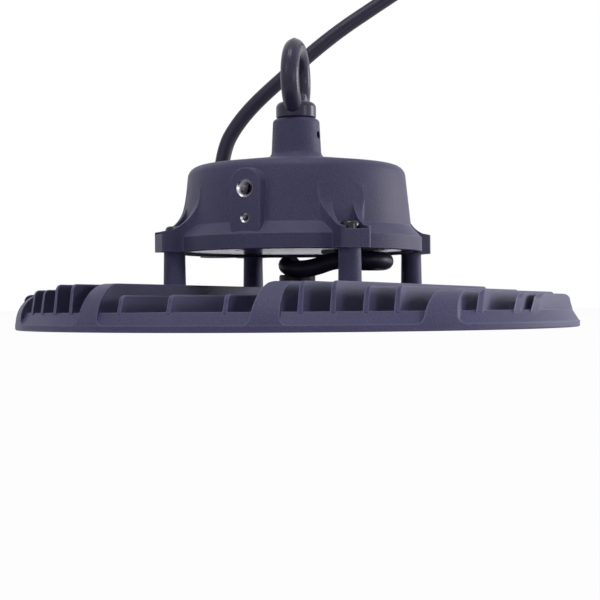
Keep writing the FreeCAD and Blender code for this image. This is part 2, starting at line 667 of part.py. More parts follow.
# ================================================================ screws through the lugs, eye bolt, lock screw
WASHER_T = 1.0
WASHER_R = 5.2
PAN_R = 4.75
PAN_H = 3.2
HOUSE_SCREW_R = POST_HOLE_R - SCREW_GAP
HOUSE_SCREW_L = 22.0


def housing_washers():
    return Part.makeCompound([tube(WASHER_R, LUG_HOLE_R - 0.1, SEAT_Z, SEAT_Z + WASHER_T, at)
                              for at in post_places()])


def housing_screws():
    """Pan head screws with a hexagon socket, point down."""
    seat = SEAT_Z + WASHER_T
    dome = 1.6
    head = turned((0, seat), (PAN_R, seat), (PAN_R, seat + PAN_H - dome),
                  ((PAN_R - dome * 0.35, seat + PAN_H - dome * 0.35), (PAN_R - dome, seat + PAN_H)),
                  (0, seat + PAN_H))
    shank = cylinder(HOUSE_SCREW_R, seat - HOUSE_SCREW_L, seat)
    screw = head.fuse(shank).removeSplitter().cut(hexagon(3.0, seat + 1.2, seat + PAN_H + 1))
    return Part.makeCompound([moved(screw, at.x, at.y, 0) for at in post_places()])


def eye_bolt():
    """Forged in one piece: ring, collar with a rounded top, and shank."""
    foot = NECK_TOP_Z
    top = foot + COLLAR_H
    bend = COLLAR_ROUND * (1 - math.sqrt(0.5))
    collar = turned((0, foot), (COLLAR_R - COLLAR_FOOT_ROUND, foot), (COLLAR_R, foot + COLLAR_FOOT_ROUND),
                    (COLLAR_R, top - COLLAR_ROUND),
                    ((COLLAR_R - bend, top - bend), (COLLAR_R - COLLAR_ROUND, top)), (0, top))
    shank = turned((0, foot - SHANK_L), (SHANK_R - 1, foot - SHANK_L), (SHANK_R, foot - SHANK_L + 1),
                   (SHANK_R, foot), (0, foot))
    ring_z = foot + EYE_MEAN_R + EYE_WIRE_R
    ring = Part.makeTorus(EYE_MEAN_R, EYE_WIRE_R, Vec(0, 0, ring_z), Vec(1, 0, 0))
    seam = tube(EYE_MEAN_R + EYE_WIRE_R + SEAM_H, EYE_MEAN_R - EYE_WIRE_R - SEAM_H, -SEAM_W / 2, SEAM_W / 2)
    seam = moved(spun(seam, 90, Vec(0, 1, 0)), 0, 0, ring_z)
    ring = spun(ring.fuse(seam), EYE_TURN)
    root = cone(COLLAR_R - 2.6, EYE_WIRE_R + 0.4, top - 0.6, top + 4.2)
    slab = block(-EYE_WIRE_R - 0.8, EYE_WIRE_R + 0.8, -COLLAR_R, COLLAR_R, top - 1, top + 5)
    return fuse_all([collar, shank, ring, root.common(spun(slab, EYE_TURN))])


def neck_set_screw():
    """Socket set screw whose point bears on the eye bolt's shank."""
    start = SHANK_R
    body = Part.makeCylinder(LOCK_HOLE_R - SCREW_GAP, LOCK_SCREW_L, Vec(start, 0, LOCK_Z), Vec(1, 0, 0))
    key = spun(hexagon(2.5, 0, 3), 90, Vec(0, 1, 0))
    return body.cut(moved(key, start + LOCK_SCREW_L - 2.4, 0, LOCK_Z))


# ================================================================ glands
def trumpet(bore_r, mouth_r, narrow, wide):
    """The flared mouth that lets a cable turn at once. narrow and wide are the heights of its two ends."""
    return cone(bore_r, mouth_r, narrow, wide) if wide > narrow else cone(mouth_r, bore_r, wide, narrow)


def inlet_gland():
    """Gland on the heat sink's boss: body, nut with a flared mouth, and the seal between them."""
    bore = OUT_CABLE_D / 2 + CABLE_GAP
    nut_foot = BOSS_TOP + 4.2
    flare_foot = INLET_NUT_TOP - 4.2
    stem = cylinder(GLAND_STEM_R, PLATE_TOP + 1, BOSS_TOP)
    body = fuse_all([hexagon(GLAND_HEX, BOSS_TOP, nut_foot), stem, cylinder(7.6, nut_foot, nut_foot + 3)])
    body = cut_all(body, [cylinder(6.6, PLATE_TOP + 2, nut_foot + 4), cylinder(bore + 0.4, PLATE_TOP, PLATE_TOP + 3)])
    nut = turned((0, nut_foot), (NUT_R, nut_foot), (NUT_R, INLET_NUT_TOP - 0.8),
                 (NUT_R - 0.5, INLET_NUT_TOP), (0, INLET_NUT_TOP))
    nut = cut_all(nut, [cylinder(7.7, nut_foot, nut_foot + 3.1), cylinder(bore, nut_foot, INLET_NUT_TOP),
                        trumpet(bore, MOUTH_R, flare_foot, INLET_NUT_TOP)])
    seal = tube(6.5, bore, PLATE_TOP + 2, nut_foot + 3)
    return body, nut, seal


def outlet_gland():
    """Gland in the cover plate: a hexagon with a flared mouth hangs below, with a nut inside and a seal."""
    bore = OUT_CABLE_D / 2 + CABLE_GAP
    seat = cover_face() - COVER_STEP
    lip = seat - OUTLET_LIP_H
    inside = cover_face() + COVER_T
    top = inside + 7.0
    crown = turned((0, lip), (OUTLET_HEX / 2, lip), (OUTLET_HEX / 2 + 2.4, lip + 1.4),
                   (OUTLET_HEX / 2 + 2.4, seat), (0, seat))
    bush = spun(hexagon(OUTLET_HEX, lip, seat), OUTLET_TURN).common(crown)
    bush = bush.fuse(cylinder(GLAND_STEM_R, seat, top)).removeSplitter()
    flare_top = lip + 4.2
    bush = cut_all(bush, [cylinder(bore, lip, flare_top + 1), cylinder(6.4, flare_top + 1, top),
                          trumpet(bore, OUTLET_MOUTH_R, flare_top, lip)])
    nut = hexagon(22.0, inside, inside + 4.5).cut(cylinder(GLAND_STEM_R + CABLE_GAP, inside, inside + 5))
    seal = tube(6.3, bore, flare_top + 1, top - 1)
    return [moved(piece, OUTLET_AT.x, OUTLET_AT.y, 0) for piece in (bush, nut, seal)]


def mains_gland():
    """Upright gland for the mains cord: body, long tapered nut that relieves the cord's bend, and seal."""
    bore = MAINS_CORD_D / 2 + CABLE_GAP
    seat = CORD_BOSS_TOP
    nut_foot = seat + 4.5
    flats = spun(hexagon(MAINS_HEX, seat, nut_foot), 30 + CORD_BOSS_ANGLE)
    body = fuse_all([flats, cylinder(MAINS_STEM_R, seat - 9, seat), cylinder(7.2, nut_foot, nut_foot + 5)])
    body = cut_all(body, [cylinder(6.1, seat - 7, nut_foot + 6), cylinder(bore + 0.4, seat - 10, seat - 6)])
    nut = turned((0, nut_foot), (MAINS_NUT_R, nut_foot), (MAINS_NUT_R, nut_foot + 6),
                 (MAINS_NUT_R - 0.6, nut_foot + 6.6), (bore + 2.4, nut_foot + 9),
                 (bore + 1.5, MAINS_NUT_TOP - 0.8), (bore + 0.8, MAINS_NUT_TOP), (0, MAINS_NUT_TOP))
    nut = cut_all(nut, [cylinder(7.3, nut_foot, nut_foot + 5.2), cylinder(bore, nut_foot, MAINS_NUT_TOP)])
    seal = tube(6.0, bore, seat - 7, nut_foot + 5)
    return [moved(piece, CORD_BOSS_AT.x, CORD_BOSS_AT.y, 0) for piece in (body, nut, seal)]


# ================================================================ cables
def bent_path(points, radii):
    """Straight runs joined by tangent arcs, as a wire, with the radius of each inner point."""
    edges = []
    here = points[0]
    for before, corner, after, radius in zip(points, points[1:], points[2:], radii):
        back = (before - corner).normalize()
        ahead = (after - corner).normalize()
        half = back.getAngle(ahead) / 2
        setback = radius / math.tan(half)
        start = corner + back * setback
        end = corner + ahead * setback
        bisector = (back + ahead).normalize()
        middle = corner + bisector * (radius / math.sin(half) - radius)
        edges.append(Part.LineSegment(here, start).toShape())
        edges.append(Part.Arc(start, middle, end).toShape())
        here = end
    edges.append(Part.LineSegment(here, points[-1]).toShape())
    return Part.Wire(edges)


def round_cable(name, path, diameter, towards):
    """A round cable swept along its path, checked against its section times its length."""
    start = path.OrderedVertexes[0].Point
    ring = Part.Wire(Part.Circle(start, towards, diameter / 2).toShape())
    solid = path.makePipeShell([ring], True, False)
    expected = math.pi * diameter ** 2 / 4 * path.Length
    print(f"{name}: length {path.Length:.1f} mm, volume {solid.Volume / expected:.4f} of section times length")
    return solid


def output_cable():
    path = bent_path(OUT_ROUTE, OUT_TURNS)
    print("output cable turns", OUT_TURNS)
    return round_cable("output_cable", path, OUT_CABLE_D, OUT_ROUTE[1] - OUT_ROUTE[0])


def cord_turns(points):
    """The largest radius that each inner point leaves room for."""
    radii = []
    for before, corner, after in zip(points, points[1:], points[2:]):
        turn = math.pi - (before - corner).getAngle(after - corner)
        shorter = min(before.distanceToPoint(corner), corner.distanceToPoint(after))
        radii.append(RUN_SHARE * shorter / math.tan(turn / 2))
    return radii


def mains_cord():
    radii = cord_turns(MAINS_ROUTE)
    print("mains cord turns", [round(r) for r in radii])
    return round_cable("mains_cord", bent_path(MAINS_ROUTE, radii), MAINS_CORD_D, MAINS_ROUTE[1] - MAINS_ROUTE[0])


# ================================================================ connector on the mains cord
def at_cord_end(shape):
    """Puts a shape made along +Z from the origin on the cord's end, in line with its last run."""
    end = MAINS_ROUTE[-1]
    way = (end - MAINS_ROUTE[-2]).normalize()
    placed = shape.copy()
    placed.Placement = FreeCAD.Placement(end, FreeCAD.Rotation(UP, way))
    return placed


def connector():
    """In-line connector: tapered grip, coupling ring and the insert with three pins."""
    grip_end = CONNECTOR_L * 0.6
    grip = turned((0, 0), (5.6, 0), (6.2, 1.0), (CONNECTOR_R - 0.6, 9.0), (CONNECTOR_R - 0.6, grip_end),
                  (6.6, grip_end), (6.6, CONNECTOR_L - 6), (0, CONNECTOR_L - 6))
    ring = tube(CONNECTOR_R, 6.7, grip_end, CONNECTOR_L)
    insert = cylinder(6.0, CONNECTOR_L - 6, CONNECTOR_L - 4)
    pins = [cylinder(0.9, CONNECTOR_L - 5, CONNECTOR_L - 0.5, Vec(x, y, 0)) for x, y in round_places(3.2, 3)]
    return [at_cord_end(piece) for piece in (grip, ring, fuse_all([insert] + pins))]


# ================================================================ all the nodes
def main():
    os.makedirs("parts", exist_ok=True)
    save("heat_sink", heat_sink())
    save("thermal_pad", thermal_pad())
    save("light_board", light_board())
    save("light_chips", light_chips())
    save("board_screws", board_screws())
    save("lens_gasket", lens_gasket())
    save("lens_plate", lens_plate())
    save("lens_screws", lens_screws())
    save("driver_housing", driver_housing())
    save("housing_cover", housing_cover())
    save("cover_gasket", cover_gasket())
    save("cover_screws", cover_screws())
    save("driver_board", driver_board())
    save("driver_board_screws", driver_board_screws())
    save("driver_transformer", driver_transformer())
    save("driver_choke", driver_choke())
    save("driver_capacitors", driver_capacitors())
    save("driver_terminals", driver_terminals())
    save("housing_washers", housing_washers())
    save("housing_screws", housing_screws())
    save("eye_bolt", eye_bolt())
    save("neck_set_screw", neck_set_screw())
    for group, pieces in (("inlet_gland", inlet_gland()), ("outlet_gland", outlet_gland()),
                          ("mains_gland", mains_gland())):
        for piece, shape in zip(("body", "nut", "seal"), pieces):
            save(group + "_" + piece, shape)
    save("output_cable", output_cable())
    save("mains_cord", mains_cord())
    for piece, shape in zip(("grip", "ring", "insert"), connector()):
        save("connector_" + piece, shape)


main()
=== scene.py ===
# %% [markdown]
# # A high bay light, finished over its CAD frame
#
# The lamp is a round finned heat sink of die-cast aluminium with a driver housing on four posts, an eye
# bolt to hang it by, a short cable from the driver to the light source and a supply cord that leaves at the
# top. The rigid pieces come from CAD and keep their shape. This file gives every piece its finish, makes
# the supply cord and the output cable as smooth curves, trims the wings of the housing's lugs on a copy,
# and adds what is too fine for the CAD: threads, lens domes and grip ribs.

# %% Load the frame
import math

import bmesh
import bpy
from mathutils import Matrix, Vector


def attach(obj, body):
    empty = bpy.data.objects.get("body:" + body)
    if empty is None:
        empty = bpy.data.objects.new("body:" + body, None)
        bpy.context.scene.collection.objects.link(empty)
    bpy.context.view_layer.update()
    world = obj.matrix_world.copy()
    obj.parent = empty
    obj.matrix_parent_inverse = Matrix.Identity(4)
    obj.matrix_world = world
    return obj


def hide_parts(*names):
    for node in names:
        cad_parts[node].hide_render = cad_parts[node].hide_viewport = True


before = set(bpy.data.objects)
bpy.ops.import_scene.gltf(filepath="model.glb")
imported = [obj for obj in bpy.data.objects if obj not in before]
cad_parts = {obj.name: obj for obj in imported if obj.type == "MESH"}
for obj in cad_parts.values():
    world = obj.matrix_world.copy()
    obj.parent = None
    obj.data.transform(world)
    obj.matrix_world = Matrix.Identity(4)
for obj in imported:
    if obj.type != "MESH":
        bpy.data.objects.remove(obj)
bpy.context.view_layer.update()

# %% [markdown]
# ## Camera
#
# The view is level with the heat sink's rim and turned a little to the right of the bracket pad. A long
# lens from a short way off keeps the near rim almost flat while the far fins still show. The camera's
# matrix is put together from its place and a few turns, which is exact and needs no constraint. It rolls by
# half a degree.

# %% Camera
MM = 0.001
VIEW_TURN = math.radians(22.9)      # how far the camera stands round to the right of the bracket pad


def add_object(name, data):
    """A new object at the origin that carries the data."""
    piece = bpy.data.objects.new(name, data)
    bpy.context.collection.objects.link(piece)
    return piece


def look_from(distance, height, lens, aim_right, aim_up, roll):
    """A level camera, turned by small angles in degrees so that its centre lies beside the object's axis."""
    data = bpy.data.cameras.new("camera")
    data.lens = lens
    data.sensor_width = 36.0
    data.clip_start = 0.02
    camera = add_object("camera", data)
    stand = Vector((distance * math.sin(VIEW_TURN), -distance * math.cos(VIEW_TURN), height))
    level = Matrix.Rotation(VIEW_TURN, 4, "Z") @ Matrix.Rotation(math.radians(90), 4, "X")
    nudge = (Matrix.Rotation(math.radians(-aim_right), 4, "Y") @ Matrix.Rotation(math.radians(aim_up), 4, "X")
             @ Matrix.Rotation(math.radians(-roll), 4, "Z"))
    camera.matrix_world = Matrix.Translation(stand) @ level @ nudge
    return camera


camera = look_from(distance=0.722, height=11.3 * MM, lens=79.8, aim_right=0.108, aim_up=0.277, roll=0.42)
bpy.context.scene.camera = camera
print("camera at", [round(v, 3) for v in camera.location])

# %% [markdown]
# ## Supply cord
#
# The cord is round and fairly stiff. It leaves its gland behind the housing, rises and leans over, and is
# held up by the supply above, where its connector is. One NURBS curve led by a few points gives a line with
# no kinks, which is how a jacketed cord hangs. The points are the corners of the CAD cord's route.

# %% Supply cord
CORD_D = 8.6 * MM
CORD_ROUTE = [(-62.17, 31.95, 68.0), (-62.5, 31.8, 98.6), (-51.1, 39.1, 123.1), (-25.8, 54.3, 150.2),
              (-4.6, 68.6, 172.1), (17.0, 84.1, 190.4), (36.1, 98.6, 206.6)]      # in mm
STEPS_ALONG = 16              # steps of the curve from one point to the next
STEPS_ROUND = 6               # steps in a quarter of its section


def round_curve(name, points, diameter):
    """A NURBS line with a round section, led by points in mm."""
    curve = bpy.data.curves.new(name, "CURVE")
    curve.dimensions = "3D"
    spline = curve.splines.new("NURBS")
    spline.points.add(len(points) - 1)
    for point, place in zip(spline.points, points):
        point.co = (place[0] * MM, place[1] * MM, place[2] * MM, 1.0)
        point.radius = diameter / 2
    spline.order_u = 3
    spline.use_endpoint_u = True
    spline.resolution_u = STEPS_ALONG
    curve.bevel_depth = 1.0       # times each point's radius
    curve.bevel_resolution = STEPS_ROUND
    curve.use_fill_caps = True
    return add_object(name, curve)


supply_cord = round_curve("supply_cord", CORD_ROUTE, CORD_D)
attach(supply_cord, "root")
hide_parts("mains_cord")

# %% [markdown]
# ## Output cable
#
# The short cable carries the driver's output down to the light source. It loops under the housing between
# its two glands, because the jacket is too stiff to go straight across. It is made like the supply cord:
# one NURBS line through the corners of its route, starting inside one gland and ending inside the other.

# %% Output cable
CABLE_D = 9.3 * MM
CABLE_ROUTE = [(23.8, 14.4, 50.0), (23.8, 14.4, 30.6), (13.2, 38.1, 36.2), (30.3, 51.3, 35.8),
               (52.9, -2.1, 35.3), (28.3, -10.9, 36.4), (15.9, -16.1, 31.4), (6.5, -21.1, 30.7),
               (-1.1, -14.8, 33.9), (0.0, 0.0, 34.1), (0.0, 0.0, 7.6)]            # in mm
output_loop = round_curve("output_loop", CABLE_ROUTE, CABLE_D)
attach(output_loop, "root")
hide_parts("output_cable")
print("cable points:", len(CABLE_ROUTE))

# %% [markdown]
# ## A cutter for the lugs' wings
#
# Each screw lug of the driver housing carries two wings that climb the drafted wall and end in a point on
# it. The casting's mould is turned there, so the wings' outer edge is a surface of revolution. The cutter
# is what stands outside that surface: its section is one flat face, with the wings' curve as its inner
# edge, and the spin operator carries it round the lamp's axis across one lug.

# %% Wing cutter
WALL_FOOT = (61.8, 53.9)      # radius and height where the drafted wall starts, in mm
WALL_HEAD = (58.4, 85.8)      # and where it ends
WING_EDGE = [(65.2, 58.2), (63.1, 61.0), (61.55, 65.0), (60.55, 69.0), (60.02, 72.0)]
WALL_CLEAR = 0.03             # the cutter stays this far off the bare wall
CUTTER_TOP = 77.0
CUTTER_OUT = 76.0             # radius that lies outside the lugs
CUTTER_ANGLE = 13.4           # degrees to each side of a lug's middle
SPIN_STEPS = 10


def deselect():
    bpy.ops.object.select_all(action="DESELECT")


def select_only(piece):
    """Operators then act on this piece alone."""
    deselect()
    piece.select_set(True)
    bpy.context.view_layer.objects.active = piece


def wall_radius(height):
    share = (height - WALL_FOOT[1]) / (WALL_HEAD[1] - WALL_FOOT[1])
    return WALL_FOOT[0] + (WALL_HEAD[0] - WALL_FOOT[0]) * share


def cutter_outline():
    """Corners of the cutter's section: the wings' curve, the wall just outside its face, and a way out."""
    upper = [(wall_radius(height) + WALL_CLEAR, height) for height in (74.0, CUTTER_TOP)]
    return WING_EDGE + upper + [(CUTTER_OUT, CUTTER_TOP), (CUTTER_OUT, WING_EDGE[0][1])]


def wing_cutter(angle):
    """The section laid out as a flat face and spun about the lamp's axis."""
    start = math.radians(angle + CUTTER_ANGLE)        # a positive spin turns clockwise seen from above
    ring = [(r * MM * math.cos(start), r * MM * math.sin(start), z * MM) for r, z in cutter_outline()]
    mesh = bpy.data.meshes.new("wing_cutter")
    mesh.from_pydata(ring, [], [tuple(range(len(ring)))])
    cutter = add_object("wing_cutter", mesh)
    select_only(cutter)
    bpy.ops.object.mode_set(mode="EDIT")
    bpy.ops.mesh.select_all(action="SELECT")
    bpy.ops.mesh.spin(steps=SPIN_STEPS, angle=math.radians(2 * CUTTER_ANGLE), center=(0, 0, 0),
                      axis=(0, 0, 1))
    bpy.ops.mesh.select_all(action="SELECT")
    bpy.ops.mesh.remove_doubles(threshold=1e-7)
    bpy.ops.mesh.normals_make_consistent(inside=False)
    bpy.ops.object.mode_set(mode="OBJECT")
    return cutter


print("cutter section:", len(cutter_outline()), "corners")

# %% [markdown]
# ## Driver housing with its wings run out into the wall
#
# A CAD node's mesh is loose triangles and is left alone, so the housing is copied, and the copy's doubles
# are merged to make it a closed skin that a Boolean can cut. It stands in for the node afterwards. The
# split normals that came with the CAD mesh no longer fit after the cuts, so they are cleared, and the
# shading is made new from the angles between faces.

# %% Trimmed housing
LUG_ANGLES = (45, 135, 225, 315)


def merged_copy(node, name):
    """A copy of a CAD node, with its loose triangles joined along their edges."""
    copy = add_object(name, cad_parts[node].data.copy())
    select_only(copy)
    bpy.ops.object.mode_set(mode="EDIT")
    bpy.ops.mesh.select_all(action="SELECT")
    bpy.ops.mesh.remove_doubles(threshold=1e-6)
    bpy.ops.object.mode_set(mode="OBJECT")
    bpy.ops.mesh.customdata_custom_splitnormals_clear()
    return copy


housing_shell = merged_copy("driver_housing", "housing_shell")
for lug_angle in LUG_ANGLES:
    cutter = wing_cutter(lug_angle)
    trim = housing_shell.modifiers.new("trim", "BOOLEAN")
    trim.operation = "DIFFERENCE"
    trim.solver = "EXACT"
    trim.object = cutter
    select_only(housing_shell)
    bpy.ops.object.modifier_apply(modifier=trim.name)
    bpy.data.objects.remove(cutter)
bpy.ops.object.shade_smooth_by_angle(angle=math.radians(28))
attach(housing_shell, "root")
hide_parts("driver_housing")
print("housing faces:", len(housing_shell.data.polygons))

# %% [markdown]
# ## Threads in the bracket pads
#
# The two holes in each pad are drilled and tapped after coating, so their chamfers are bare aluminium and
# the thread catches the light. Each sleeve starts as a circle, and edge rings are extruded inwards from it
# with a little scaling each time: the chamfer first, then the crests and roots of the thread, then back
# along the hole's wall, so that the sleeve is a closed skin.

# %% Threaded sleeves
PAD_FACE = 66.5               # distance of a pad's face from the middle, in mm
THREADS = [("bracket", 70.4, 3.4, 1.1, 1.25, 8),      # name, height, radius, chamfer, pitch and turns
           ("stop", 55.6, 1.65, 0.8, 0.7, 9)]
CREST_RISE = 0.28             # a crest stands in from the wall by this share of the pitch
LIP = 0.05                    # the sleeve starts this far inside the chamfer's rim
LIFT = 0.03                   # and lies this far off the chamfer
SKIN = 0.02                   # the sleeve's faces lie this far to each side of the hole's wall


def thread_profile(radius, chamfer, pitch, turns):
    """Radius and depth of each edge ring, in mm."""
    steps = [(radius + chamfer - LIP, -LIFT), (radius - LIFT, chamfer - LIFT)]
    for turn in range(turns):
        depth = chamfer + turn * pitch
        steps += [(radius - CREST_RISE * pitch, depth + pitch / 2), (radius - SKIN, depth + pitch)]
    return steps + [(radius + SKIN, chamfer + turns * pitch), (radius + SKIN, chamfer)]


def threaded_sleeve(name, height, radius, chamfer, pitch, turns):
    """The sleeve of one hole in the front pad."""
    steps = thread_profile(radius, chamfer, pitch, turns)
    before, depth = steps[0]
    place = (0, (-PAD_FACE + depth) * MM, height * MM)
    deselect()
    bpy.ops.mesh.primitive_circle_add(vertices=36, radius=before * MM, location=place,
                                      rotation=(math.pi / 2, 0, 0))
    sleeve = bpy.context.active_object
    sleeve.name = name
    bpy.ops.object.transform_apply(location=True, rotation=True, scale=True)
    bpy.ops.object.mode_set(mode="EDIT")
    bpy.ops.mesh.select_all(action="SELECT")
    for radius_next, depth_next in steps[1:] + steps[:1]:
        move = (0, (depth_next - depth) * MM, 0)
        bpy.ops.mesh.extrude_region_move(TRANSFORM_OT_translate={"value": move})
        grow = radius_next / before
        centre = (0, (-PAD_FACE + depth_next) * MM, height * MM)
        bpy.ops.transform.resize(value=(grow, 1, grow), center_override=centre)
        before, depth = radius_next, depth_next
    bpy.ops.mesh.select_all(action="SELECT")
    bpy.ops.mesh.remove_doubles(threshold=2e-6)
    bpy.ops.mesh.normals_make_consistent(inside=False)
    bpy.ops.object.mode_set(mode="OBJECT")
    bpy.ops.object.shade_smooth_by_angle(angle=math.radians(20))
    return sleeve


def turned_copy(piece, name, degrees):
    """A copy with its own mesh, turned about the lamp's axis inside the mesh."""
    mesh = piece.data.copy()
    mesh.transform(Matrix.Rotation(math.radians(degrees), 4, "Z"))
    return add_object(name, mesh)


sleeves = []
for kind, *sizes in THREADS:
    front = threaded_sleeve(kind + "_thread_front", *sizes)
    sleeves += [front, turned_copy(front, kind + "_thread_back", 180)]
for sleeve in sleeves:
    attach(sleeve, "root")
print("sleeves:", [(sleeve.name, len(sleeve.data.polygons)) for sleeve in sleeves])

# %% [markdown]
# ## Lens domes under the optic plate
#
# Every light chip has its own small dome moulded into the clear plate, which spreads its light. There are
# over a hundred and fifty, so each has only a few dozen faces. One dome hangs from a disc: rings are
# extruded downwards from it and scaled in, and its open end is filled. It is copied to each place with its
# own mesh, and the copies are joined into one piece.

# %% Lens domes
CHIP_RINGS = [(24.0, 8), (44.0, 16), (64.0, 22), (84.0, 30), (104.0, 36), (120.0, 40)]      # radius and count
DOME_STEPS = [(4.9, 1.62), (4.7, 1.4), (3.9, 1.05), (2.6, 0.78), (1.1, 0.64)]      # radius and height in mm
DOME_SIDES = 14


def lens_dome():
    """One dome on the lamp's axis, with its flat side up."""
    radius, height = DOME_STEPS[0]
    deselect()
    bpy.ops.mesh.primitive_circle_add(vertices=DOME_SIDES, radius=radius * MM, location=(0, 0, height * MM))
    dome = bpy.context.active_object
    bpy.ops.object.transform_apply(location=True, rotation=True, scale=True)
    bpy.ops.object.mode_set(mode="EDIT")
    bpy.ops.mesh.select_all(action="SELECT")
    bpy.ops.mesh.edge_face_add()
    for radius_next, height_next in DOME_STEPS[1:]:
        move = (0, 0, (height_next - height) * MM)
        bpy.ops.mesh.extrude_region_move(TRANSFORM_OT_translate={"value": move})
        grow = radius_next / radius
        bpy.ops.transform.resize(value=(grow, grow, 1), center_override=(0, 0, height_next * MM))
        radius, height = radius_next, height_next
    bpy.ops.mesh.select_all(action="DESELECT")
    bpy.ops.mesh.select_non_manifold()
    bpy.ops.mesh.edge_face_add()
    bpy.ops.mesh.select_all(action="SELECT")
    bpy.ops.mesh.normals_make_consistent(inside=False)
    bpy.ops.object.mode_set(mode="OBJECT")
    return dome


def set_out(pattern, name, placings):
    """Puts a copy of the pattern at each placing, joins the copies and removes the pattern."""
    copies = []
    for placing in placings:
        mesh = pattern.data.copy()
        mesh.transform(placing)
        copies.append(add_object(name, mesh))
    bpy.data.objects.remove(pattern)
    select_only(copies[0])
    for copy in copies:
        copy.select_set(True)
    bpy.ops.object.join()
    piece = bpy.context.active_object
    piece.name = name
    return piece


dome_placings = [Matrix.Rotation(2 * math.pi * (number + 0.5) / count, 4, "Z")
                 @ Matrix.Translation((radius * MM, 0, 0))
                 for radius, count in CHIP_RINGS for number in range(count)]
lens_domes = set_out(lens_dome(), "lens_domes", dome_placings)
bpy.ops.object.shade_smooth_by_angle(angle=math.radians(50))
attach(lens_domes, "root")
print("domes:", len(dome_placings), "faces:", len(lens_domes.data.polygons))

# %% [markdown]
# ## Grip ribs on the supply connector
#
# The connector's grip has ribs along it, so that wet hands can turn it. A rib is a small block whose outer
# face is inset and lifted, which tapers it on all sides. It is made along Z, copied round the grip, and
# laid on the cord's own direction at its end.

# %% Grip ribs
CORD_END = Vector(CORD_ROUTE[-1]) * MM
CORD_RUN = (CORD_END - Vector(CORD_ROUTE[-2]) * MM).normalized()
RIB_COUNT = 14
GRIP_R = 8.4 * MM
RIB_START = 9.5 * MM          # along the cord from its end
RIB_END = 19.6 * MM
RIB_HEIGHT = 1.0 * MM
RIB_WIDTH = 1.4 * MM
RIB_TAPER = 0.35 * MM


def grip_rib():
    """One rib beside the Z axis."""
    deselect()
    bpy.ops.mesh.primitive_cube_add(size=1.0, location=(GRIP_R, 0, (RIB_START + RIB_END) / 2),
                                    scale=(RIB_HEIGHT, RIB_WIDTH, RIB_END - RIB_START))
    rib = bpy.context.active_object
    bpy.ops.object.transform_apply(location=True, rotation=True, scale=True)
    bpy.ops.object.mode_set(mode="EDIT")
    bpy.ops.mesh.select_all(action="DESELECT")
    mesh = bmesh.from_edit_mesh(rib.data)
    for face in mesh.faces:
        face.select = face.normal.x > 0.9
    bmesh.update_edit_mesh(rib.data)
    bpy.ops.mesh.inset(thickness=RIB_TAPER)
    bpy.ops.transform.translate(value=(RIB_TAPER, 0, 0))
    bpy.ops.object.mode_set(mode="OBJECT")
    return rib


along = Matrix.Translation(CORD_END) @ CORD_RUN.to_track_quat("Z", "Y").to_matrix().to_4x4()
rib_placings = [along @ Matrix.Rotation(2 * math.pi * number / RIB_COUNT, 4, "Z")
                for number in range(RIB_COUNT)]
grip_ribs = set_out(grip_rib(), "grip_ribs", rib_placings)
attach(grip_ribs, "root")
print("ribs:", RIB_COUNT, "faces:", len(grip_ribs.data.polygons))

# %% [markdown]
# ## Shader maths as Python
#
# A finish is a small network of nodes. Written by hand, each Math node takes four lines and the idea gets
# lost, so a `Wire` stands for a socket and overloads the operators, and `Network.node` makes any other
# node. A `Finish` is the network of one material. Sockets are given by name where that reads well, and by
# their number where a node has several of the same name.

# %% Wire, Network and Finish
class Wire:
    """An output socket that can be used in a Python expression."""

    def __init__(self, network, socket):
        self.network = network
        self.socket = socket

    def _maths(self, operation, first, second):
        return self.network.node("ShaderNodeMath", {"operation": operation}, first, second)

    def __add__(self, other):
        return self._maths("ADD", self, other)

    def __sub__(self, other):
        return self._maths("SUBTRACT", self, other)

    def __rsub__(self, other):
        return self._maths("SUBTRACT", other, self)

    def __mul__(self, other):
        return self._maths("MULTIPLY", self, other)

    __radd__ = __add__
    __rmul__ = __mul__


class Network:
    """A node tree with one method that adds any node."""

    def __init__(self, tree):
        self.tree = tree
        tree.nodes.clear()

    def connect(self, socket, value):
        if isinstance(value, Wire):
            self.tree.links.new(value.socket, socket)
        elif hasattr(socket.default_value, "__len__") and not hasattr(value, "__len__"):
            socket.default_value = [value] * len(socket.default_value)
        else:
            socket.default_value = value

    def node(self, kind, settings=None, *values, out=0, **named):
        """Adds a node. Its settings come first, then its sockets in order, or by name with _ for a space."""
        node = self.tree.nodes.new(kind)
        for key, value in (settings or {}).items():
            setattr(node, key, value)
        for socket, value in zip(node.inputs, values):
            self.connect(socket, value)
        for name, value in named.items():
            self.connect(node.inputs[name.replace("_", " ")], value)
        return Wire(self, node.outputs[out])

    def seen(self, share):
        """A factor for rays from the camera, a mirror or glass, to show them a plain white."""
        camera, mirror, glass = [self.node("ShaderNodeLightPath", out=number) for number in (0, 3, 6)]
        either = self.node("ShaderNodeMath", {"operation": "MAXIMUM"}, camera, mirror)
        either = self.node("ShaderNodeMath", {"operation": "MAXIMUM"}, either, glass)
        return either * share


